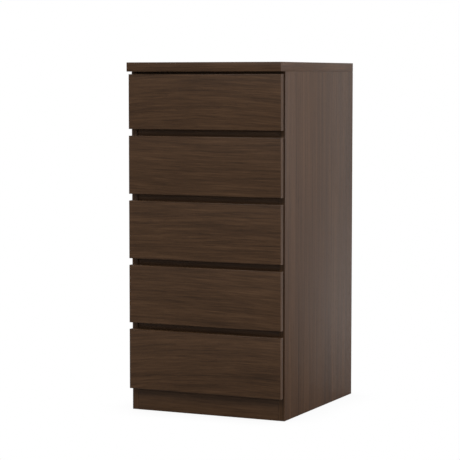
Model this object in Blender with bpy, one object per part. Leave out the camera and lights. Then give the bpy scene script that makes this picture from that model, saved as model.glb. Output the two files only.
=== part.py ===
"""Tall narrow chest with five handle-less drawers, made of walnut-finish board.

Frame: +Z is up, the drawers open towards -Y, and +X is on the right of someone who faces the chest.
The origin is the middle of the footprint, at floor level. Blender units are metres; sizes are given in
millimetres times MM. Pieces that touch keep the small gap FIT.

The chest is built like flat-pack furniture: board panels, a thin back in grooves, rails between the drawers
at the back of the finger gaps, and drawers that hang on side-mounted roller runners.
"""

import math

import bmesh
import bpy
from mathutils import Matrix, Vector

MM = 0.001

# Overall size
WIDTH = 402 * MM
HEIGHT = 840 * MM
DEPTH = 456 * MM

# Board thicknesses
TOP_THICKNESS = 22 * MM
PANEL_THICKNESS = 15 * MM
RAIL_THICKNESS = 15 * MM
BACK_THICKNESS = 3 * MM
FRONT_THICKNESS = 15 * MM
BOX_SIDE_THICKNESS = 12 * MM
BOX_BOTTOM_THICKNESS = 4 * MM

# Drawer fronts: they cover the carcass, with a finger gap between one front and the next
TOP_OVERHANG = 6 * MM  # the top board stands in front of the drawer fronts by this much
FRONT_STANDOFF = 5 * MM  # air between a front and the carcass
FRONT_INSET = 2 * MM  # each end of a front stops short of the chest's side
GAP_UNDER_TOP = 6 * MM
FINGER_GAP = 16 * MM
UPPER_FRONT = 131 * MM
MIDDLE_FRONT = 139.5 * MM
LOWER_FRONT = 144.5 * MM
FRONT_HEIGHTS = (UPPER_FRONT, MIDDLE_FRONT, MIDDLE_FRONT, MIDDLE_FRONT, LOWER_FRONT)
FRONT_ROUND = 1.5 * MM

# Rails, plinth and back
FRONT_OVERLAP = 4 * MM  # a front covers the rail or plinth behind it by this much
RAIL_DEPTH = 20 * MM
RAIL_RECESS = 3 * MM  # the rails stand behind the side panels' front edges
TOP_RAIL_WIDTH = 60 * MM
BACK_INSET = 10 * MM
GROOVE_DEPTH = 6 * MM
REAR_PLINTH_INSET = 22 * MM

# Drawer boxes
RUNNER_SPACE = 12.5 * MM  # each side, between a drawer box and the chest's side panel
BOX_HEIGHT = 105 * MM
BOX_LENGTH = 400 * MM
BOX_LIFT = 9 * MM  # a box's lower edge above the lower edge of its front
BOX_BACK_DROP = 5 * MM  # the back is lower than the sides
BOTTOM_LIFT = 8 * MM  # the bottom's groove above the box's lower edge
BOX_TOP_ROUND = 2 * MM

# Roller runners of pressed steel
STEEL = 1.2 * MM
STEEL_BEND = 1.2 * MM  # radius of a bend, at the middle of the sheet
RUNNER_LENGTH = 400 * MM
RUNNER_SETBACK = 2 * MM  # behind the side panel's front edge
RUNNER_DROP = 3 * MM  # the fixed runner's floor below the drawer box
TRACK_HEIGHT = 22.4 * MM
TRACK_WIDTH = 10 * MM
TRACK_LIP = 4.2 * MM
TRACK_ROOF = 7.2 * MM
ROOF_CUT = 30 * MM  # the roof stops here, to clear the front roller
HANGER_WRAP = 12 * MM  # the moving runner's shelf under the drawer side
HANGER_TOP = 23.6 * MM  # middle of the moving runner's upper flange, above the track's floor
HANGER_REACH = 10 * MM
ROLLER_RADIUS = 9.5 * MM
AXLE_RADIUS = 2 * MM
AXLE_LENGTH = 8 * MM
ROLLER_INSET = 13 * MM  # roller's middle from the end of its runner

FIT = 0.3 * MM  # gap left between pieces that touch
ARRIS = 0.8 * MM  # small round on every board's edges
ROUND_STEPS = 3
CUT_MARGIN = 1 * MM  # how far a cutter runs past the face that it cuts

# Planes and faces that follow from the sizes above
FRONT_FACE = -DEPTH / 2 + TOP_OVERHANG
FRONT_BACK = FRONT_FACE + FRONT_THICKNESS
CARCASS_FRONT = FRONT_BACK + FRONT_STANDOFF
REAR = DEPTH / 2
TOP_UNDERSIDE = HEIGHT - TOP_THICKNESS
INNER_HALF = WIDTH / 2 - PANEL_THICKNESS
RAIL_HEIGHT = FINGER_GAP + 2 * FRONT_OVERLAP
RAIL_FRONT = CARCASS_FRONT + RAIL_RECESS
BACK_FRONT = REAR - BACK_INSET - BACK_THICKNESS
BOX_HALF = INNER_HALF - RUNNER_SPACE
BOX_INNER_HALF = BOX_HALF - BOX_SIDE_THICKNESS
BOX_FRONT = FRONT_BACK + FIT
BOX_REAR = BOX_FRONT + BOX_LENGTH

WALNUT_FRONT = (0.060, 0.031, 0.018)
WALNUT_SIDE = (0.105, 0.075, 0.060)
WALNUT_SHADED = (0.040, 0.023, 0.015)
HARDBOARD = (0.180, 0.110, 0.065)
PALE_WRAP = (0.600, 0.500, 0.380)
COATED_STEEL = (0.700, 0.690, 0.660)


def clear_scene():
    for obj in list(bpy.data.objects):
        bpy.data.objects.remove(obj, do_unlink=True)


def make_material(name, colour, roughness, metallic=0.0):
    material = bpy.data.materials.new(name)
    material.use_nodes = True
    shader = material.node_tree.nodes["Principled BSDF"]
    shader.inputs["Base Color"].default_value = (*colour, 1.0)
    shader.inputs["Roughness"].default_value = roughness
    shader.inputs["Metallic"].default_value = metallic
    material.diffuse_color = (*colour, 1.0)
    return material


def add_object(name, bm, location, colour, parent=None, roughness=0.45, metallic=0.0):
    """The bmesh as a new object with a material of its own, set down at location in its parent's frame."""
    bmesh.ops.recalc_face_normals(bm, faces=bm.faces)
    mesh = bpy.data.meshes.new(name)
    bm.to_mesh(mesh)
    bm.free()
    mesh.shade_smooth()
    mesh.set_sharp_from_angle(angle=math.radians(50))
    mesh.materials.append(make_material(name, colour, roughness, metallic))
    obj = bpy.data.objects.new(name, mesh)
    bpy.context.scene.collection.objects.link(obj)
    obj.location = location
    obj.parent = parent
    return obj


def box_mesh(size):
    bm = bmesh.new()
    bmesh.ops.create_cube(bm, size=1.0)
    bmesh.ops.scale(bm, vec=size, verts=bm.verts)
    return bm


def edges_where(bm, test):
    """Edges whose two ends both pass the test."""
    return [edge for edge in bm.edges if all(test(vert.co) for vert in edge.verts)]


def bevel(bm, edges, width, steps):
    bmesh.ops.bevel(bm, geom=edges, offset=width, segments=steps, profile=0.5, affect="EDGES")


def board(name, low, high, colour, parent=None, arris=ARRIS):
    """A flat board between two corners, with its edges eased."""
    low, high = Vector(low), Vector(high)
    bm = box_mesh(high - low)
    bevel(bm, bm.edges[:], arris, 2)
    return add_object(name, bm, (low + high) / 2, colour, parent)


def extrude_outline(outline, length):
    """A closed outline of (a, b) points in the XZ plane, extruded along +Y from 0."""
    bm = bmesh.new()
    face = bm.faces.new([bm.verts.new((a, 0, b)) for a, b in outline])
    made = bmesh.ops.extrude_face_region(bm, geom=[face])
    moved = [item for item in made["geom"] if isinstance(item, bmesh.types.BMVert)]
    bmesh.ops.translate(bm, vec=(0, length, 0), verts=moved)
    return bm


def arc(centre, radius, start, end, steps):
    """Points of an arc, with the angles in degrees."""
    points = []
    for i in range(steps + 1):
        angle = math.radians(start + (end - start) * i / steps)
        points.append((centre[0] + radius * math.cos(angle), centre[1] + radius * math.sin(angle)))
    return points


def left_of(direction):
    return Vector((-direction.y, direction.x))


def bent_sheet(path):
    """Outline of a folded strip of steel whose middle line is path, with each corner rounded."""
    points = [Vector(point) for point in path]
    ways = [(end - start).normalized() for start, end in zip(points, points[1:])]
    middle = [(points[0], ways[0])]
    for corner, way, next_way in zip(points[1:], ways, ways[1:]):
        turn = math.atan2(way.cross(next_way), way.dot(next_way))
        radius = math.copysign(STEEL_BEND, turn)
        centre = corner - way * STEEL_BEND * math.tan(abs(turn) / 2) + left_of(way) * radius
        for i in range(ROUND_STEPS + 1):
            along = Matrix.Rotation(turn * i / ROUND_STEPS, 2) @ way
            middle.append((centre - left_of(along) * radius, along))
    middle.append((points[-1], ways[-1]))
    upper = [point + left_of(way) * STEEL / 2 for point, way in middle]
    lower = [point - left_of(way) * STEEL / 2 for point, way in middle]
    return [tuple(point) for point in upper + lower[::-1]]


def mirrored(outline, side):
    """The outline as it stands for the left side (-1), or mirrored for the right side (+1)."""
    return [(-side * a, b) for a, b in outline]


def add_helper(name, bm, location, parent=None):
    """A cutter or a joined shape: it isn't a piece of the chest, so it isn't rendered."""
    bmesh.ops.recalc_face_normals(bm, faces=bm.faces)
    mesh = bpy.data.meshes.new(name)
    bm.to_mesh(mesh)
    bm.free()
    helper = bpy.data.objects.new(name, mesh)
    bpy.context.scene.collection.objects.link(helper)
    helper.location = location
    helper.parent = parent
    helper.hide_render = True
    helper.display_type = "WIRE"
    return helper


def boolean(obj, helper, operation):
    modifier = obj.modifiers.new(operation.title(), "BOOLEAN")
    modifier.operation = operation
    modifier.solver = "EXACT"
    modifier.object = helper


def cut_box(obj, low, high, parent=None):
    low, high = Vector(low), Vector(high)
    helper = add_helper(obj.name + "_cutter", box_mesh(high - low), (low + high) / 2, parent)
    boolean(obj, helper, "DIFFERENCE")


def add_axle(obj, start_x, end_x, y, z, parent=None):
    """A riveted axle along X, joined to the runner that carries it."""
    bm = bmesh.new()
    bmesh.ops.create_cone(
        bm,
        cap_ends=True,
        segments=16,
        radius1=AXLE_RADIUS,
        radius2=AXLE_RADIUS,
        depth=abs(end_x - start_x),
    )
    helper = add_helper(obj.name + "_axle", bm, ((start_x + end_x) / 2, y, z), parent)
    helper.rotation_euler = (0, math.radians(90), 0)
    boolean(obj, helper, "UNION")


def side_panel(name, side):
    """An upright side, with a groove for the back near its rear edge. Its plan is extruded upwards."""
    outer, inner = side * WIDTH / 2, side * INNER_HALF
    height = TOP_UNDERSIDE - FIT
    size = Vector((PANEL_THICKNESS, REAR - CARCASS_FRONT, height))
    bm = box_mesh(size)
    bevel(bm, bm.edges[:], ARRIS, 2)
    middle = ((outer + inner) / 2, (CARCASS_FRONT + REAR) / 2, height / 2)
    panel = add_object(name, bm, middle, WALNUT_SIDE)
    groove_x = sorted((inner - side * CUT_MARGIN, inner + side * GROOVE_DEPTH))
    cut_box(
        panel,
        (groove_x[0], BACK_FRONT - FIT, -CUT_MARGIN),
        (groove_x[1], BACK_FRONT + BACK_THICKNESS + FIT, HEIGHT),
    )


def front_bottoms():
    """Height of each front's lower edge above the floor, from the top drawer down."""
    top = TOP_UNDERSIDE - GAP_UNDER_TOP
    bottoms = []
    for height in FRONT_HEIGHTS:
        bottoms.append(top - height)
        top -= height + FINGER_GAP
    return bottoms


def build_carcass(bottoms):
    plinth_top = bottoms[-1] + FRONT_OVERLAP
    between = INNER_HALF - FIT
    board("top_board", (-WIDTH / 2, -DEPTH / 2, TOP_UNDERSIDE), (WIDTH / 2, REAR, HEIGHT), WALNUT_FRONT)
    side_panel("side_panel_left", -1)
    side_panel("side_panel_right", 1)

    groove_end = INNER_HALF + GROOVE_DEPTH - FIT
    board(
        "back_panel",
        (-groove_end, BACK_FRONT, plinth_top - RAIL_THICKNESS),
        (groove_end, BACK_FRONT + BACK_THICKNESS, TOP_UNDERSIDE - FIT),
        HARDBOARD,
        arris=FIT,
    )
    plinth_back = CARCASS_FRONT + RAIL_THICKNESS
    board(
        "bottom_panel",
        (-between, plinth_back + FIT, plinth_top - RAIL_THICKNESS),
        (between, BACK_FRONT - FIT, plinth_top),
        WALNUT_SHADED,
    )
    board(
        "plinth_front",
        (-between, CARCASS_FRONT, 0),
        (between, plinth_back, plinth_top),
        WALNUT_SHADED,
        arris=FIT,
    )
    rear_plinth = REAR - REAR_PLINTH_INSET
    board(
        "plinth_rear",
        (-between, rear_plinth - RAIL_THICKNESS, 0),
        (between, rear_plinth, plinth_top - RAIL_THICKNESS - FIT),
        WALNUT_SHADED,
    )

    top_rail_bottom = TOP_UNDERSIDE - FIT - RAIL_THICKNESS
    for name, front in (
        ("top_rail_front", RAIL_FRONT),
        ("top_rail_rear", BACK_FRONT - FIT - TOP_RAIL_WIDTH),
    ):
        board(
            name,
            (-between, front, top_rail_bottom),
            (between, front + TOP_RAIL_WIDTH, TOP_UNDERSIDE - FIT),
            WALNUT_SHADED,
        )
    for number, bottom in enumerate(bottoms[:-1], start=1):
        middle = bottom - FINGER_GAP / 2
        board(
            f"front_rail_{number}",
            (-between, RAIL_FRONT, middle - RAIL_HEIGHT / 2),
            (between, RAIL_FRONT + RAIL_DEPTH, middle + RAIL_HEIGHT / 2),
            WALNUT_SHADED,
        )


def fixed_runner(number, side, track_floor):
    """The channel screwed to the chest's side: floor, lip, web and roof, with the front roller's axle."""
    half = STEEL / 2
    path = [
        (TRACK_WIDTH - half, TRACK_LIP),
        (TRACK_WIDTH - half, half),
        (half, half),
        (half, TRACK_HEIGHT - half),
        (TRACK_ROOF, TRACK_HEIGHT - half),
    ]
    outline = mirrored(bent_sheet(path), side)
    name = f"fixed_runner_{number}_{'right' if side > 0 else 'left'}"
    face = side * (INNER_HALF - FIT)
    start = CARCASS_FRONT + RUNNER_SETBACK
    runner = add_object(
        name,
        extrude_outline(outline, RUNNER_LENGTH),
        (face, start, track_floor),
        COATED_STEEL,
        roughness=0.35,
        metallic=0.2,
    )
    roof = track_floor + TRACK_HEIGHT
    cut_x = sorted((face - side * (STEEL + FIT), face - side * (TRACK_ROOF + CUT_MARGIN)))
    cut_box(
        runner,
        (cut_x[0], start - CUT_MARGIN, roof - STEEL - STEEL_BEND),
        (cut_x[1], start + ROOF_CUT, roof + CUT_MARGIN),
    )
    roller_z = track_floor + HANGER_TOP - STEEL / 2 - ROLLER_RADIUS
    add_axle(runner, face - side * half, face - side * AXLE_LENGTH, start + ROLLER_INSET, roller_z)


def moving_runner(number, side, track_floor, drawer):
    """The hanger screwed to the drawer: shelf, web and upper flange, with the rear roller's axle."""
    half = STEEL / 2
    face = side * (BOX_HALF + FIT)
    box_bottom = RUNNER_DROP - FIT
    path = [
        (-HANGER_WRAP, box_bottom - half),
        (half, box_bottom - half),
        (half, HANGER_TOP),
        (HANGER_REACH, HANGER_TOP),
    ]
    outline = [(side * a, b) for a, b in bent_sheet(path)]
    name = f"drawer_{number}_runner_{'right' if side > 0 else 'left'}"
    runner = add_object(
        name,
        extrude_outline(outline, BOX_REAR - BOX_FRONT - FIT),
        (face, BOX_FRONT + FIT, track_floor),
        COATED_STEEL,
        drawer,
        roughness=0.35,
        metallic=0.2,
    )
    roller_z = track_floor + STEEL + FIT / 2 + ROLLER_RADIUS
    add_axle(
        runner,
        face + side * half,
        face + side * AXLE_LENGTH,
        BOX_REAR - ROLLER_INSET,
        roller_z,
        drawer,
    )


def drawer_front(number, bottom, height, groove_bottom, drawer):
    """The visible front: rounded on its outer edges, and grooved behind for the drawer's bottom."""
    half_depth = FRONT_THICKNESS / 2
    bm = box_mesh(Vector((WIDTH - 2 * FRONT_INSET, FRONT_THICKNESS, height)))
    bevel(bm, edges_where(bm, lambda co: co.y < 0), FRONT_ROUND, ROUND_STEPS)
    bevel(bm, edges_where(bm, lambda co: co.y > half_depth - FIT), ARRIS, 1)
    middle = (0, FRONT_FACE + half_depth, bottom + height / 2)
    front = add_object(f"drawer_{number}_front", bm, middle, WALNUT_FRONT, drawer)
    groove_end = BOX_INNER_HALF + GROOVE_DEPTH + FIT
    cut_box(
        front,
        (-groove_end, FRONT_BACK - GROOVE_DEPTH, groove_bottom),
        (groove_end, FRONT_BACK + CUT_MARGIN, groove_bottom + BOX_BOTTOM_THICKNESS + 2 * FIT),
        drawer,
    )


def box_side(number, side, box_bottom, drawer):
    """A drawer side: its section, with a rounded top and a groove for the bottom, extruded backwards."""
    inner, outer = 0, BOX_SIDE_THICKNESS
    groove_top = BOTTOM_LIFT + BOX_BOTTOM_THICKNESS + 2 * FIT
    crown = BOX_HEIGHT - BOX_TOP_ROUND
    outline = [(inner, 0), (outer, 0)]
    outline += arc((outer - BOX_TOP_ROUND, crown), BOX_TOP_ROUND, 0, 90, ROUND_STEPS)
    outline += arc((inner + BOX_TOP_ROUND, crown), BOX_TOP_ROUND, 90, 180, ROUND_STEPS)
    outline += [
        (inner, groove_top),
        (inner + GROOVE_DEPTH, groove_top),
        (inner + GROOVE_DEPTH, BOTTOM_LIFT),
        (inner, BOTTOM_LIFT),
    ]
    outline = [(side * a, b) for a, b in outline]
    name = f"drawer_{number}_side_{'right' if side > 0 else 'left'}"
    place = (side * BOX_INNER_HALF, BOX_FRONT, box_bottom)
    add_object(name, extrude_outline(outline, BOX_LENGTH), place, PALE_WRAP, drawer)


def build_drawer(number, bottom, height):
    """One drawer, with every piece parented to an empty on the line along which it slides."""
    drawer = bpy.data.objects.new(f"drawer_{number}", None)
    bpy.context.scene.collection.objects.link(drawer)
    slide_line = Vector((0, 0, bottom + BOX_LIFT))
    drawer.location = slide_line

    box_bottom = BOX_LIFT + bottom - slide_line.z
    front_bottom = bottom - slide_line.z
    groove_bottom = box_bottom + BOTTOM_LIFT
    drawer_front(number, front_bottom, height, groove_bottom, drawer)
    for side in (-1, 1):
        box_side(number, side, box_bottom, drawer)
        moving_runner(number, side, box_bottom - RUNNER_DROP, drawer)
        fixed_runner(number, side, slide_line.z - RUNNER_DROP)
    panel_bottom = groove_bottom + FIT
    panel_end = BOX_INNER_HALF + GROOVE_DEPTH - FIT
    board(
        f"drawer_{number}_bottom",
        (-panel_end, FRONT_BACK - GROOVE_DEPTH + FIT, panel_bottom),
        (panel_end, BOX_REAR, panel_bottom + BOX_BOTTOM_THICKNESS),
        PALE_WRAP,
        drawer,
        arris=FIT,
    )
    back_end = BOX_INNER_HALF - FIT
    board(
        f"drawer_{number}_back",
        (-back_end, BOX_REAR - BOX_SIDE_THICKNESS, panel_bottom + BOX_BOTTOM_THICKNESS + FIT),
        (back_end, BOX_REAR, box_bottom + BOX_HEIGHT - BOX_BACK_DROP),
        PALE_WRAP,
        drawer,
    )


def main():
    clear_scene()
    bottoms = front_bottoms()
    build_carcass(bottoms)
    for number, (bottom, height) in enumerate(zip(bottoms, FRONT_HEIGHTS), start=1):
        build_drawer(number, bottom, height)
    bpy.context.view_layer.update()


main()
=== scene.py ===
"""Looks of the tall five-drawer chest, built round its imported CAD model."""

import math

import bmesh
import bpy
from mathutils import Matrix, Vector


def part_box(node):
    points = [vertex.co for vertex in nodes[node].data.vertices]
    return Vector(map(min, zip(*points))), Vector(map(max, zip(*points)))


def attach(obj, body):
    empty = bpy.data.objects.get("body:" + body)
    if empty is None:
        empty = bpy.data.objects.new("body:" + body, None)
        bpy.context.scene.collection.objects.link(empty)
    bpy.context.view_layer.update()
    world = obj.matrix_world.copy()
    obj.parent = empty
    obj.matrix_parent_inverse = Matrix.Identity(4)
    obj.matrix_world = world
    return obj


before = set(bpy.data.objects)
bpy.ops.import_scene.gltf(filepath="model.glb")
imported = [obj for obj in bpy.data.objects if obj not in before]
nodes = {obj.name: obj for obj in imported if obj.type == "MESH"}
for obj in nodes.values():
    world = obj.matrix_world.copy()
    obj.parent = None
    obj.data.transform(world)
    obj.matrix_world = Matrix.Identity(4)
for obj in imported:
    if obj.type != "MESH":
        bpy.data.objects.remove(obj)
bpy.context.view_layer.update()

scene = bpy.context.scene

MM = 0.001
DRAWERS = (1, 2, 3, 4, 5)
SIDES = {"left": -1, "right": 1}

# The camera: in front of the chest and to its right, a little above its middle, with a long lens
CAMERA_PLACE = (1.9103, -4.1761, 0.8000)
CAMERA_TURN = 24.969  # degrees from +Y towards -X
CAMERA_TILT = 4.621  # degrees below the horizon
CAMERA_LENS = 146.02
SENSOR = 36.0

# Runner sizes, as in the CAD model
ROLLER_INSET = 13 * MM  # from a runner's end to its roller's axle
FIXED_AXLE_HEIGHT = 13.5 * MM  # above the fixed runner's foot
MOVING_AXLE_HEIGHT = 10.85 * MM  # above the track that the roller runs on
TRACK_DROP = 1.5 * MM  # from the moving runner's foot down to the track
HANGER_REACH = 10 * MM  # from the moving runner's inner face to its outer edge
STEEL = 1.2 * MM
FIT = 0.3 * MM  # gap between a drawer side and its runner


class Shader:
    """One material's nodes. A value is a number, a tuple, or another node's output."""

    def __init__(self, name, surface=None):
        self.material = bpy.data.materials.new(name)
        self.material.use_nodes = True
        self.tree = self.material.node_tree
        self.surface = self.tree.nodes["Principled BSDF"]
        for socket, value in (surface or {}).items():
            self.surface.inputs[socket].default_value = value

    def add(self, kind, inputs=None, **settings):
        node = self.tree.nodes.new("ShaderNode" + kind)
        for key, value in settings.items():
            setattr(node, key, value)
        for key, value in (inputs or {}).items():
            self.set(node.inputs[key], value)
        return node

    def set(self, socket, value):
        if isinstance(value, bpy.types.NodeSocket):
            self.tree.links.new(value, socket)
        else:
            socket.default_value = value

    def to(self, socket, value):
        self.set(self.surface.inputs[socket], value)

    def math(self, operation, *values):
        return self.add("Math", dict(enumerate(values)), operation=operation).outputs[0]

    def vector(self, operation, *values):
        return self.add("VectorMath", dict(enumerate(values)), operation=operation).outputs["Vector"]

    def split(self, vector):
        return self.add("SeparateXYZ", {0: vector}).outputs

    def join(self, x, y, z):
        return self.add("CombineXYZ", {0: x, 1: y, 2: z}).outputs[0]

    def noise(self, vector, scale, detail=2.0, roughness=0.5, distortion=0.0):
        inputs = {"Vector": vector, "Scale": scale, "Detail": detail, "Roughness": roughness}
        inputs["Distortion"] = distortion
        return self.add("TexNoise", inputs).outputs["Fac"]

    def mix_colour(self, factor, a, b):
        node = self.add("Mix", data_type="RGBA")
        for index, value in zip((0, 6, 7), (factor, a, b)):
            self.set(node.inputs[index], value)
        return node.outputs[2]

    def mix_vector(self, factor, a, b):
        node = self.add("Mix", data_type="VECTOR")
        for index, value in zip((0, 4, 5), (factor, a, b)):
            self.set(node.inputs[index], value)
        return node.outputs[1]

    def range(self, value, low, high, to_low=0.0, to_high=1.0, smooth=False):
        kind = "SMOOTHSTEP" if smooth else "LINEAR"
        inputs = {"Value": value, "From Min": low, "From Max": high, "To Min": to_low, "To Max": to_high}
        return self.add("MapRange", inputs, interpolation_type=kind).outputs[0]

    def ramp(self, factor, stops):
        node = self.add("ValToRGB", {0: factor})
        ramp = node.color_ramp
        while len(ramp.elements) < len(stops):
            ramp.elements.new(0.5)
        for element, (place, colour) in zip(ramp.elements, stops):
            element.position = place
            element.color = (*colour, 1.0)
        return node.outputs[0]

    def bump(self, height, depth, strength=1.0):
        inputs = {"Strength": strength, "Distance": depth, "Height": height}
        self.to("Normal", self.add("Bump", inputs).outputs[0])

    def coordinates(self):
        node = self.add("TexCoord")
        return node.outputs["Object"], node.outputs["Normal"]


AXIS_INDEX = {"X": 0, "Y": 1, "Z": 2}
ON_FACE = 0.7  # a point is on the face towards an axis when its normal reaches this far along the axis


def towards(shader, normal, side):
    """1 on the faces that look towards a side such as "+Y", and 0 elsewhere."""
    sign = 1.0 if side[0] == "+" else -1.0
    reach = shader.math("MULTIPLY", shader.split(normal)[AXIS_INDEX[side[1]]], sign)
    return shader.math("GREATER_THAN", reach, ON_FACE)


def stray(shader, pattern, amount, middle):
    """middle, moved up and down by a pattern that lies round 0.5."""
    return shader.math("MULTIPLY_ADD", shader.math("SUBTRACT", pattern, 0.5), amount, middle)


def wood_coordinates(shader, grain, across_ends):
    """Object coordinates turned so that X runs along the grain, on the faces and on the banded ends."""
    place, normal = shader.coordinates()
    x, y, z = shader.split(place)
    axes = {"X": x, "Y": y, "Z": z}
    others = [axes[a] for a in "XYZ" if a != grain]
    faces = shader.join(axes[grain], *others)
    rest = [axes[a] for a in "XYZ" if a != across_ends]
    ends = shader.join(axes[across_ends], *rest)
    reach = shader.math("ABSOLUTE", shader.split(normal)[AXIS_INDEX[grain]])
    on_end = shader.math("GREATER_THAN", reach, ON_FACE)
    return shader.mix_vector(on_end, faces, ends), place, normal


def edge_distance(shader, place, low, high):
    """How far a point of a board's face is from the board's nearest edge."""
    middle, half = (low + high) / 2, (high - low) / 2
    away = shader.vector("ABSOLUTE", shader.vector("SUBTRACT", place, tuple(middle)))
    a, b, c = shader.split(shader.vector("SUBTRACT", tuple(half), away))
    inner = shader.math("MAXIMUM", a, b)
    return shader.math("MAXIMUM", shader.math("MINIMUM", a, b), shader.math("MINIMUM", inner, c))


WALNUT_STOPS = (
    (0.0, (0.0180, 0.0090, 0.0043)),
    (0.3, (0.0400, 0.0201, 0.0095)),
    (0.6, (0.0600, 0.0306, 0.0145)),
    (1.0, (0.0960, 0.0510, 0.0256)),
)
PORE_COLOUR = (0.008, 0.004, 0.003, 1.0)
WORN_COLOUR = (0.15, 0.10, 0.068, 1.0)
WALNUT_ROUGHNESS = 0.42
SEAM_INSET = 1.8 * MM  # where the edge band meets the face
SEAM_WIDTH = 0.2 * MM
WORN_WIDTH = 1.1 * MM  # how far in from an edge the finish is chafed
PORE_LENGTH = 1 / 55
PORE_WIDTH = 1 / 1500
FIBRE = (0.045, 0.0016, 2.0, 0.6)  # length, pitch, detail and roughness of the finest streaks
# Coarser streaks: length, pitch, detail and roughness, and how much each one colours the wood
STREAKS = (
    ((0.60, 0.050, 2.0, 0.55), 0.24),
    ((0.26, 0.011, 2.0, 0.55), 0.48),
    ((0.13, 0.0045, 3.0, 0.6), 0.85),
)
FIBRE_WEIGHT = 0.62
SWAY = 6 * MM  # how far the streaks wander across the board


def walnut(
    node,
    grain="X",
    across_ends="Z",
    shift=0.0,
    flow=(0, 0, 0),
    tone=1.0,
    contrast=1.0,
    raw="",
    reach=1.0,
):
    """Dark walnut finish.

    grain is the axis that the grain runs along, and across_ends the one that it follows on the ends.
    shift moves the board to another part of the pattern. flow is (middle, slope, bow): where the grain's
    arch has its crown along the board, how far the grain falls over a metre, and how strongly it arches.
    tone scales the colour, contrast how far the streaks stand apart, and reach how long they are. raw
    names a side that shows sawn chipboard.
    """
    low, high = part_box(node)
    shader = Shader(node + "_walnut", {"Specular IOR Level": 0.18})
    coords, place, normal = wood_coordinates(shader, grain, across_ends)
    offset = (shift * 1.7, shift * 0.9, shift * 0.4)
    along, across, through = shader.split(coords)
    middle, slope, bow = flow
    from_crown = shader.math("SUBTRACT", along, middle)
    arch = shader.math("MULTIPLY", shader.math("MULTIPLY_ADD", from_crown, bow, slope), from_crown)
    sway_place = shader.vector("MULTIPLY", shader.vector("ADD", coords, offset), (3.0, 9.0, 9.0))
    sway = shader.math("SUBTRACT", shader.noise(sway_place, 1.0, 2.0, 0.5), 0.5)
    field = shader.math("ADD", through, shader.math("MULTIPLY_ADD", sway, SWAY, arch))
    grown = shader.vector("ADD", shader.join(along, across, field), offset)

    def streaks(length, pitch, detail, roughness):
        scaled = shader.vector("MULTIPLY", grown, (1 / (length * reach), 1 / pitch, 1 / pitch))
        return shader.noise(scaled, 1.0, detail, roughness)

    fibres = streaks(*FIBRE)
    patterns = [(streaks(*kind), weight) for kind, weight in STREAKS]
    tint = 0.5
    for pattern, weight in (*patterns, (fibres, FIBRE_WEIGHT)):
        tint = stray(shader, pattern, weight * contrast, tint)
    colour = shader.ramp(tint, [(p, tuple(c * tone for c in rgb)) for p, rgb in WALNUT_STOPS])

    pore_place = shader.vector("MULTIPLY", grown, (1 / PORE_LENGTH, 1 / PORE_WIDTH, 1 / PORE_WIDTH))
    pores = shader.range(shader.noise(pore_place, 1.0, 1.0, 0.5), 0.62, 0.74)
    colour = shader.mix_colour(shader.math("MULTIPLY", pores, 0.45), colour, PORE_COLOUR)

    distance = edge_distance(shader, place, low, high)
    chafed = shader.range(shader.noise(place, 160.0, 3.0, 0.6), 0.42, 0.7)
    worn = shader.math("MULTIPLY", shader.range(distance, 0.0, WORN_WIDTH, 1.0, 0.0), chafed)
    colour = shader.mix_colour(shader.math("MULTIPLY", worn, 0.30), colour, WORN_COLOUR)

    seam = shader.math("COMPARE", distance, SEAM_INSET, SEAM_WIDTH / 2)
    colour = shader.mix_colour(shader.math("MULTIPLY", seam, 0.5), colour, PORE_COLOUR)

    roughness = stray(shader, fibres, 0.16, WALNUT_ROUGHNESS)
    roughness = shader.math("MULTIPLY_ADD", pores, 0.12, roughness)
    height = shader.math("MULTIPLY_ADD", pores, -1.0, shader.math("MULTIPLY", fibres, 0.5))

    if raw:
        cut = towards(shader, normal, raw)
        chips, chip_rough = chipboard(shader, place)
        colour = shader.mix_colour(cut, colour, chips)
        roughness = shader.math("MAXIMUM", roughness, shader.math("MULTIPLY", cut, chip_rough))
        height = shader.math("MULTIPLY_ADD", cut, chip_rough, height)

    shader.to("Base Color", colour)
    shader.to("Roughness", roughness)
    shader.bump(height, 0.00006, 0.6)
    return shader.material


def chipboard(shader, place):
    """Sawn chipboard: pressed flakes of pale and dark wood."""
    flakes = shader.add("TexVoronoi", {"Vector": place, "Scale": 560.0, "Randomness": 1.0}, feature="F1")
    flake = shader.split(flakes.outputs["Color"])[0]
    grit = shader.noise(place, 1400.0, 2.0, 0.7)
    tint = stray(shader, grit, 0.6, flake)
    stops = (
        (0.0, (0.13, 0.075, 0.04)),
        (0.3, (0.30, 0.20, 0.115)),
        (0.7, (0.42, 0.30, 0.18)),
        (1.0, (0.55, 0.42, 0.27)),
    )
    return shader.ramp(tint, stops), shader.math("MULTIPLY_ADD", grit, 0.2, 0.7)


def pale_wrap(node, grain):
    """Pale printed foil on the drawer boxes, with a faint grain."""
    shader = Shader(node + "_wrap")
    coords, place, _ = wood_coordinates(shader, grain, "Z")
    low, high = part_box(node)
    fine = shader.noise(shader.vector("MULTIPLY", coords, (7.0, 330.0, 330.0)), 1.0, 3.0, 0.6)
    broad = shader.noise(shader.vector("MULTIPLY", coords, (1.5, 26.0, 26.0)), 1.0, 3.0, 0.55, 0.3)
    tint = stray(shader, fine, 0.5, broad)
    stops = (
        (0.2, (0.46, 0.37, 0.27)),
        (0.5, (0.56, 0.47, 0.36)),
        (0.8, (0.63, 0.545, 0.43)),
    )
    colour = shader.ramp(tint, stops)
    distance = edge_distance(shader, place, low, high)
    # Darker towards brown within 4 mm of each board's edges.
    edge_darkening = shader.range(distance, 0.0, 0.004, 1.0, 0.0, smooth=True)
    colour = shader.mix_colour(shader.math("MULTIPLY", edge_darkening, 0.12), colour, (0.30, 0.22, 0.15, 1.0))
    shader.to("Base Color", colour)
    shader.to("Roughness", shader.math("MULTIPLY_ADD", fine, 0.2, 0.38))
    shader.bump(fine, 0.00003, 0.5)
    return shader.material


SCREEN_PITCH = 1.6 * MM


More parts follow.
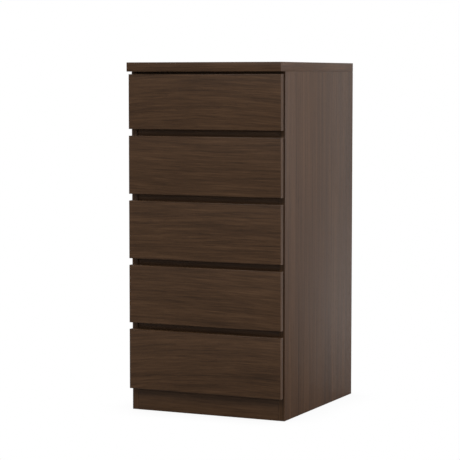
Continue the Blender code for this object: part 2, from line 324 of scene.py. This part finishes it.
def hardboard(node, printed):
    """Thin hardboard: a pale print on one side, and on the other the brown screen pattern of its press."""
    shader = Shader(node + "_hardboard", {"Specular IOR Level": 0.4})
    place, normal = shader.coordinates()
    x, y, z = shader.split(place)
    other = y if printed == "+Z" else z
    weave_a = shader.math("SINE", shader.math("MULTIPLY", x, 2 * math.pi / SCREEN_PITCH))
    weave_b = shader.math("SINE", shader.math("MULTIPLY", other, 2 * math.pi / SCREEN_PITCH))
    screen = shader.math("MULTIPLY", weave_a, weave_b)
    cloud = shader.noise(place, 22.0, 4.0, 0.6)
    fuzz = shader.noise(place, 900.0, 2.0, 0.7)
    tint = stray(shader, fuzz, 0.5, stray(shader, cloud, 0.4, 0.5))
    tint = shader.math("MULTIPLY_ADD", screen, 0.06, tint)
    stops = ((0.2, (0.135, 0.078, 0.042)), (0.5, (0.20, 0.122, 0.07)), (0.8, (0.27, 0.175, 0.105)))
    brown = shader.ramp(tint, stops)
    grain = shader.noise(shader.vector("MULTIPLY", place, (2.0, 60.0, 60.0)), 1.0, 4.0, 0.6, 0.3)
    stops = ((0.2, (0.50, 0.43, 0.33)), (0.5, (0.60, 0.53, 0.42)), (0.8, (0.66, 0.60, 0.49)))
    print_side = shader.ramp(grain, stops)
    on_print = towards(shader, normal, printed)
    shader.to("Base Color", shader.mix_colour(on_print, brown, print_side))
    shader.to("Roughness", shader.math("MULTIPLY_ADD", on_print, -0.3, 0.78))
    rough_side = shader.math("SUBTRACT", 1.0, on_print)
    height = shader.math("MULTIPLY_ADD", fuzz, 0.4, shader.math("MULTIPLY", screen, rough_side))
    shader.bump(height, 0.00012, 0.6)
    return shader.material


def coated_steel(name):
    """Cream powder coat on pressed steel: a fine orange peel and dull scuffs."""
    shader = Shader(name)
    place = shader.coordinates()[0]
    peel = shader.noise(place, 1300.0, 1.0, 0.5)
    scuff = shader.noise(shader.vector("MULTIPLY", place, (1.0, 0.15, 1.0)), 240.0, 3.0, 0.7)
    scuffed = shader.range(scuff, 0.56, 0.72)
    colour = shader.mix_colour(scuffed, (0.66, 0.645, 0.60, 1.0), (0.50, 0.485, 0.45, 1.0))
    shader.to("Base Color", colour)
    shader.to("Roughness", shader.math("MULTIPLY_ADD", scuffed, 0.18, 0.30))
    shader.bump(peel, 0.00004, 0.4)
    return shader.material


def zinc(name, colour):
    """Zinc plating, with fine turning marks and dull clouds."""
    shader = Shader(name, {"Metallic": 1.0})
    place = shader.coordinates()[0]
    marks = shader.noise(place, 2600.0, 2.0, 0.6)
    clouds = shader.noise(place, 300.0, 3.0, 0.6)
    dull = tuple(c * 0.7 for c in colour)
    shader.to("Base Color", shader.mix_colour(clouds, (*dull, 1.0), (*colour, 1.0)))
    shader.to("Roughness", shader.math("MULTIPLY_ADD", marks, 0.25, 0.22))
    shader.bump(marks, 0.00002, 0.5)
    return shader.material


def nylon():
    """White nylon of the rollers, with a grey track where they run."""
    shader = Shader("roller_nylon")
    place = shader.coordinates()[0]
    grime = shader.noise(place, 500.0, 3.0, 0.65)
    grimy = shader.range(grime, 0.4, 0.75)
    colour = shader.mix_colour(grimy, (0.74, 0.73, 0.69, 1.0), (0.55, 0.53, 0.48, 1.0))
    shader.to("Base Color", colour)
    shader.to("Roughness", shader.math("MULTIPLY_ADD", grime, 0.25, 0.3))
    shader.bump(grime, 0.00003, 0.4)
    return shader.material


def dress(node, material):
    """Gives a CAD node its material, and shades it smooth except at real edges."""
    obj = nodes[node]
    mesh = obj.data
    if "custom_normal" in mesh.attributes:
        mesh.attributes.remove(mesh.attributes["custom_normal"])
    mesh.materials.clear()
    mesh.materials.append(material)
    mesh.polygons.foreach_set("use_smooth", [True] * len(mesh.polygons))
    weld = obj.modifiers.new("Weld", "WELD")
    weld.merge_threshold = 0.00001
    split = obj.modifiers.new("Edges", "EDGE_SPLIT")
    split.split_angle = math.radians(40)


def new_piece(name, bm, material, body):
    """Makes a bmesh, which is used up, into a piece that rides on a body."""
    bmesh.ops.recalc_face_normals(bm, faces=bm.faces)
    mesh = bpy.data.meshes.new(name)
    bm.to_mesh(mesh)
    bm.free()
    mesh.shade_smooth()
    mesh.set_sharp_from_angle(angle=math.radians(35))
    mesh.materials.append(material)
    obj = bpy.data.objects.new(name, mesh)
    scene.collection.objects.link(obj)
    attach(obj, body)


def turned(profile, steps):
    """A closed body turned about X from (x, radius) points that start and end on the axis."""
    bm = bmesh.new()
    verts = [bm.verts.new((x, r, 0.0)) for x, r in profile]
    edges = [bm.edges.new(pair) for pair in zip(verts, verts[1:])]
    bmesh.ops.spin(
        bm,
        geom=verts + edges,
        axis=(1, 0, 0),
        cent=(0, 0, 0),
        steps=steps,
        angle=2 * math.pi,
        use_merge=True,
    )
    bmesh.ops.remove_doubles(bm, verts=bm.verts, dist=1e-6)
    return bm


def place_copies(source, places):
    """One bmesh with a copy of source at each matrix. source is used up."""
    mesh = bpy.data.meshes.new("copies")
    source.to_mesh(mesh)
    source.free()
    bm = bmesh.new()
    for matrix in places:
        first = len(bm.verts)
        bm.from_mesh(mesh)
        bm.verts.ensure_lookup_table()
        bmesh.ops.transform(bm, matrix=matrix, verts=bm.verts[first:])
    bpy.data.meshes.remove(mesh)
    return bm


def facing(side):
    """Turns a shape that points along +X to the left (-1) or leaves it (+1)."""
    return Matrix.Rotation(math.pi, 4, "Z") if side < 0 else Matrix.Identity(4)


ROLLER_WIDTH = 6.4 * MM
ROLLER_RADIUS = 9.45 * MM


def roller_profile():
    """Half of a roller's section: a hub, a hollowed web and a rounded tread."""
    w, r = ROLLER_WIDTH / 2, ROLLER_RADIUS
    return [
        (-w, 0.0),
        (-w, 2.6 * MM),
        (-w + 0.5 * MM, 3.0 * MM),
        (-w + 0.5 * MM, r - 1.6 * MM),
        (-w, r - 1.2 * MM),
        (-w, r - 0.5 * MM),
        (-w + 0.5 * MM, r),
        (w - 0.5 * MM, r),
        (w, r - 0.5 * MM),
        (w, r - 1.2 * MM),
        (w - 0.5 * MM, r - 1.6 * MM),
        (w - 0.5 * MM, 3.0 * MM),
        (w, 2.6 * MM),
        (w, 0.0),
    ]


def in_mm(*points):
    return [(x * MM, radius * MM) for x, radius in points]


RIVET_PROFILE = in_mm((0, 0), (0, 3.0), (0.35, 2.9), (0.7, 2.1), (0.85, 0))
NAIL_PROFILE = in_mm((-0.2, 0), (-0.2, 2.0), (0.15, 2.2), (0.4, 1.9), (0.5, 0))


def rounded_slab(low, high, radius):
    """A flat slab from low to high with round upright corners."""
    bm = bmesh.new()
    corners = (
        (high.x - radius, high.y - radius),
        (low.x + radius, high.y - radius),
        (low.x + radius, low.y + radius),
        (high.x - radius, low.y + radius),
    )
    verts = []
    for corner, (x, y) in enumerate(corners):
        for step in range(5):
            turn = (corner + step / 4) * math.pi / 2
            verts.append(bm.verts.new((x + radius * math.cos(turn), y + radius * math.sin(turn), low.z)))
    grown = bmesh.ops.extrude_face_region(bm, geom=[bm.faces.new(verts)])["geom"]
    lid = [item for item in grown if isinstance(item, bmesh.types.BMVert)]
    bmesh.ops.translate(bm, vec=(0, 0, high.z - low.z), verts=lid)
    return bm


def screw_head(radius, height):
    """A flat screw head on +X with a cross recess."""
    profile = [
        (-0.2 * MM, 0.0),
        (-0.2 * MM, radius),
        (height * 0.4, radius),
        (height * 0.85, radius * 0.82),
        (height, radius * 0.62),
        (height, 0.0),
    ]
    return cross_cut(turned(profile, 20), radius, height)


def cross_cut(bm, radius, height):
    """Sinks a cross into the flat top of a head."""
    mesh = bpy.data.meshes.new("head")
    bmesh.ops.recalc_face_normals(bm, faces=bm.faces)
    bm.to_mesh(mesh)
    bm.free()
    head = bpy.data.objects.new("head", mesh)
    scene.collection.objects.link(head)
    cutters = []
    for turn in (0.0, math.pi / 2):
        bar = bmesh.new()
        bmesh.ops.create_cube(bar, size=1.0)
        size = Vector((height, radius * 0.95, radius * 0.26))
        bmesh.ops.scale(bar, vec=size, verts=bar.verts)
        matrix = Matrix.Translation((height * 0.9, 0, 0)) @ Matrix.Rotation(turn, 4, "X")
        bmesh.ops.transform(bar, matrix=matrix, verts=bar.verts)
        cut_mesh = bpy.data.meshes.new("cross")
        bar.to_mesh(cut_mesh)
        bar.free()
        cutter = bpy.data.objects.new("cross", cut_mesh)
        scene.collection.objects.link(cutter)
        modifier = head.modifiers.new("Cross", "BOOLEAN")
        modifier.object = cutter
        cutters.append(cutter)
    graph = bpy.context.evaluated_depsgraph_get()
    result = bmesh.new()
    result.from_object(head, graph)
    for obj in (head, *cutters):
        bpy.data.objects.remove(obj)
    return result


# Boards

# Each front's flow of grain: where its arch has its crown, its slope and its bow
FRONT_GRAIN = {
    1: (-0.03, 0.00, 0.16),
    2: (0.06, 0.01, -0.06),
    3: (-0.08, -0.02, 0.06),
    4: (0.02, 0.02, 0.09),
    5: (-0.06, -0.08, 0.24),
}
for n in DRAWERS:
    front = f"drawer_{n}_front"
    dress(front, walnut(front, "X", "Z", shift=0.37 * n, flow=FRONT_GRAIN[n], contrast=1.15))
dress("top_board", walnut("top_board", "X", "Y", shift=3.1, tone=1.02, contrast=1.15))
for side in SIDES:
    panel = f"side_panel_{side}"
    shift = 4.3 + SIDES[side]
    dress(panel, walnut(panel, "Z", "Y", shift=shift, contrast=1.4, raw="+Y", reach=3.0))
for node in ("plinth_front", "plinth_rear", "bottom_panel", "top_rail_front", "top_rail_rear"):
    dress(node, walnut(node, "X", "Y", shift=0.11 * len(node)))
# Painted light: the rails' walnut is 5% lighter than the other boards', to lift the shade in the gaps
# between the fronts.
for n in range(1, 5):
    node = f"front_rail_{n}"
    dress(node, walnut(node, "X", "Y", shift=0.23 * n, tone=1.05))
dress("back_panel", hardboard("back_panel", "-Y"))

steel = coated_steel("runner_coat")
for n in DRAWERS:
    dress(f"drawer_{n}_back", pale_wrap(f"drawer_{n}_back", "X"))
    dress(f"drawer_{n}_bottom", hardboard(f"drawer_{n}_bottom", "+Z"))
    for side in SIDES:
        dress(f"drawer_{n}_side_{side}", pale_wrap(f"drawer_{n}_side_{side}", "Y"))
        dress(f"drawer_{n}_runner_{side}", steel)
        dress(f"fixed_runner_{n}_{side}", steel)

# Fittings
white_nylon = nylon()
bright = zinc("zinc_plate", (0.72, 0.73, 0.75))
dull = zinc("zinc_fittings", (0.50, 0.50, 0.49))

SCREW_RADIUS = 3.4 * MM
RUNNER_SCREW_HEIGHT = 0.7 * MM
BOX_SCREW_HEIGHT = 0.45 * MM
CAM_RADIUS = 6.2 * MM
CAM_HEIGHT = 0.5 * MM

# Distances in millimetres from a runner's front end to its screws, and their heights above its foot
FIXED_SCREW_STEPS = (52, 180, 308, 372)
FIXED_SCREW_HEIGHT = 11 * MM
MOVING_SCREW_STEPS = (36, 164, 292)
MOVING_SCREW_HEIGHT = 10 * MM

# Where the fittings of a drawer's box lie along its sides, and their heights in millimetres
CAM_INSET = 34 * MM
CAM_HEIGHTS = (34, 82)
BACK_SCREW_INSET = 6 * MM
BACK_SCREW_HEIGHTS = (44, 84)

# How far a roller's middle and its rivet stand off the wall or drawer side that carries the axle
FIXED_ROLLER_OUT = 4.9 * MM
FIXED_RIVET_OUT = 8.1 * MM
MOVING_ROLLER_OUT = 6.9 * MM


def heads(radius, height, places):
    return place_copies(screw_head(radius, height), places)


def roller(place):
    return place_copies(turned(roller_profile(), 32), [place])


def join(bm, other):
    """Adds another bmesh, which is used up, to bm."""
    mesh = bpy.data.meshes.new("other")
    other.to_mesh(mesh)
    other.free()
    bm.from_mesh(mesh)
    bpy.data.meshes.remove(mesh)


def fixed_runner_fittings(n, side, sign):
    """The roller at a fixed runner's front, its rivet, and the screws into the side panel."""
    low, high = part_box(f"fixed_runner_{n}_{side}")
    wall = high.x if sign > 0 else low.x
    turn = facing(-sign)
    axle = Vector((wall, low.y + ROLLER_INSET, low.z + FIXED_AXLE_HEIGHT))
    middle = Matrix.Translation(axle - Vector((sign * FIXED_ROLLER_OUT, 0, 0))) @ turn
    new_piece(f"front_roller_{n}_{side}", roller(middle), white_nylon, "carcass")
    tip = Matrix.Translation(axle - Vector((sign * FIXED_RIVET_OUT, 0, 0))) @ turn
    screws = [
        Matrix.Translation((wall - sign * STEEL, low.y + step * MM, low.z + FIXED_SCREW_HEIGHT)) @ turn
        for step in FIXED_SCREW_STEPS
    ]
    bm = heads(SCREW_RADIUS, RUNNER_SCREW_HEIGHT, screws)
    join(bm, place_copies(turned(RIVET_PROFILE, 20), [tip]))
    new_piece(f"fixed_runner_screws_{n}_{side}", bm, bright, "carcass")


def moving_runner_fittings(n, side, sign):
    """The roller at a moving runner's rear, and the screws into the drawer side."""
    body = f"drawer_{n}"
    low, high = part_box(f"drawer_{n}_runner_{side}")
    outer = high.x if sign > 0 else low.x
    box_face = outer - sign * (FIT + HANGER_REACH)
    box_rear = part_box(f"drawer_{n}_side_{side}")[1].y
    turn = facing(sign)
    axle = Vector((box_face, box_rear - ROLLER_INSET, low.z - TRACK_DROP + MOVING_AXLE_HEIGHT))
    middle = Matrix.Translation(axle + Vector((sign * MOVING_ROLLER_OUT, 0, 0))) @ turn
    new_piece(f"rear_roller_{n}_{side}", roller(middle), white_nylon, body)
    web = box_face + sign * (FIT + STEEL)
    screws = [
        Matrix.Translation((web, low.y + step * MM, low.z + MOVING_SCREW_HEIGHT)) @ turn
        for step in MOVING_SCREW_STEPS
    ]
    bm = heads(SCREW_RADIUS, RUNNER_SCREW_HEIGHT, screws)
    new_piece(f"moving_runner_screws_{n}_{side}", bm, bright, body)


def box_fittings(n, side, sign):
    """The cam locks that hold a drawer side to its front, and the screws that hold it to the back."""
    low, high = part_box(f"drawer_{n}_side_{side}")
    inner, outer = (low.x, high.x) if sign > 0 else (high.x, low.x)
    cams = [
        Matrix.Translation((inner, low.y + CAM_INSET, low.z + step * MM)) @ facing(-sign)
        for step in CAM_HEIGHTS
    ]
    bm = heads(CAM_RADIUS, CAM_HEIGHT, cams)
    new_piece(f"drawer_{n}_cam_locks_{side}", bm, dull, f"drawer_{n}")
    screws = [
        Matrix.Translation((outer, high.y - BACK_SCREW_INSET, low.z + step * MM)) @ facing(sign)
        for step in BACK_SCREW_HEIGHTS
    ]
    bm = heads(SCREW_RADIUS, BOX_SCREW_HEIGHT, screws)
    new_piece(f"drawer_{n}_back_screws_{side}", bm, dull, f"drawer_{n}")


for fittings in ((fixed_runner_fittings, moving_runner_fittings), (box_fittings,)):
    for n in DRAWERS:
        for side, sign in SIDES.items():
            for fit in fittings:
                fit(n, side, sign)

JOINT_INSET = 0.6 * MM
JOINT_OVERLAP = 0.1 * MM
JOINT_CORNER = 2 * MM
NAIL_PITCH = 78 * MM
NAIL_INSET = 7 * MM


def top_joint(side):
    """Closes the joint between a side panel and the top board, a little inside the panel's faces."""
    panel = f"side_panel_{side}"
    low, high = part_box(panel)
    inset = Vector((JOINT_INSET, JOINT_INSET, 0.0))
    foot = Vector((low.x, low.y, high.z - JOINT_OVERLAP)) + inset
    head = Vector((high.x, high.y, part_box("top_board")[0].z + JOINT_OVERLAP)) - inset
    material = nodes[panel].data.materials[0]
    bm = rounded_slab(foot, head, JOINT_CORNER)
    new_piece(f"top_joint_{side}", bm, material, "carcass")


def back_nails():
    """The nails of the back panel, in a row near its top and one near its bottom."""
    low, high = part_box("back_panel")
    places = [
        Matrix.Translation((step * NAIL_PITCH, high.y, z)) @ Matrix.Rotation(math.pi / 2, 4, "Z")
        for z in (low.z + NAIL_INSET, high.z - NAIL_INSET)
        for step in (-2, -1, 0, 1, 2)
    ]
    bm = place_copies(turned(NAIL_PROFILE, 16), places)
    new_piece("back_nails", bm, dull, "carcass")


for side in SIDES:
    top_joint(side)
back_nails()

# Camera
camera_data = bpy.data.cameras.new("camera")
camera_data.lens = CAMERA_LENS
camera_data.sensor_width = SENSOR
camera = bpy.data.objects.new("camera", camera_data)
camera.location = CAMERA_PLACE
camera.rotation_euler = (math.radians(90 - CAMERA_TILT), 0, math.radians(CAMERA_TURN))
scene.collection.objects.link(camera)
scene.camera = camera

# Floor and light
scene.view_settings.view_transform = "Standard"

FLOOR_GAP = 0.4 * MM  # keeps the floor off the feet's faces
CONTACT = 0.10  # how far the contact shade reaches from the chest


def studio_floor():
    """A floor that is white to the camera, with a painted contact shadow near the chest. Other rays see it
    grey, and darker in front than behind.
    """
    mesh = bpy.data.meshes.new("floor")
    bm = bmesh.new()
    bmesh.ops.create_grid(bm, x_segments=1, y_segments=1, size=60)
    bm.to_mesh(mesh)
    bm.free()
    floor = bpy.data.objects.new("floor", mesh)
    floor.location.z = -FLOOR_GAP
    scene.collection.objects.link(floor)
    shader = Shader("floor", {"Roughness": 0.9, "Specular IOR Level": 0.0})
    y = shader.split(shader.coordinates()[0])[1]
    grey = shader.range(y, -0.5, 1.4, 0.28, 0.72, smooth=True)
    shader.to("Base Color", shader.join(grey, grey, grey))
    # Painted contact shadow: to the camera, the white floor is dimmed where ambient occlusion finds the
    # chest close by.
    contact = shader.add("AmbientOcclusion", {"Distance": CONTACT}, samples=8).outputs["AO"]
    white = shader.add("Emission", {"Strength": shader.range(contact, 0.35, 0.95, 0.94, 1.0)})
    seen = shader.add("LightPath").outputs["Is Camera Ray"]
    mixed = shader.add("MixShader", {0: seen, 1: shader.surface.outputs[0], 2: white.outputs[0]})
    shader.tree.links.new(mixed.outputs[0], shader.tree.nodes["Material Output"].inputs["Surface"])
    mesh.materials.append(shader.material)


studio_floor()


def area_light(name, place, target, size, power, colour=(1, 1, 1)):
    """A soft box that points from its place at a target, and that the camera doesn't see."""
    data = bpy.data.lights.new(name, "AREA")
    data.shape = "RECTANGLE"
    data.size, data.size_y = size
    data.energy = power
    data.color = colour
    light = bpy.data.objects.new(name, data)
    light.location = place
    away = Vector(place) - Vector(target)
    light.rotation_mode = "QUATERNION"
    light.rotation_quaternion = away.to_track_quat("Z", "Y")
    light.visible_camera = False
    scene.collection.objects.link(light)


area_light("high_softbox", (-0.3, -4.6, 4.6), (0, 0, 0.4), (3.0, 2.4), 224)
area_light("front_softbox", (4.4, -7.4, 1.9), (0, 0, 0.4), (3.4, 3.4), 88)
area_light("right_softbox", (9.0, 3.0, 2.6), (0, 0, 0.5), (5.8, 5.0), 660, (1.0, 0.92, 0.91))
area_light("left_softbox", (-9.0, 3.0, 2.6), (0, 0, 0.5), (5.8, 5.0), 480, (1.0, 0.96, 0.94))


def studio_world(front, back):
    """A white world. The light that it gives is stronger from behind the chest than from in front."""
    world = bpy.data.worlds.new("studio")
    scene.world = world
    world.use_nodes = True
    tree = world.node_tree
    direction = tree.nodes.new("ShaderNodeTexCoord").outputs["Generated"]
    parts = tree.nodes.new("ShaderNodeSeparateXYZ")
    shade = tree.nodes.new("ShaderNodeMapRange")
    path = tree.nodes.new("ShaderNodeLightPath")
    seen = tree.nodes.new("ShaderNodeMath")
    shade.interpolation_type = "SMOOTHSTEP"
    for socket, value in (("From Min", -0.3), ("From Max", 0.8), ("To Min", front), ("To Max", back)):
        shade.inputs[socket].default_value = value
    seen.operation = "MAXIMUM"
    tree.links.new(direction, parts.inputs[0])
    tree.links.new(parts.outputs["Y"], shade.inputs["Value"])
    tree.links.new(path.outputs["Is Camera Ray"], seen.inputs[0])
    tree.links.new(shade.outputs[0], seen.inputs[1])
    tree.links.new(seen.outputs[0], tree.nodes["Background"].inputs["Strength"])
    tree.nodes["Background"].inputs["Color"].default_value = (1, 1, 1, 1)


studio_world(front=0.50, back=0.665)
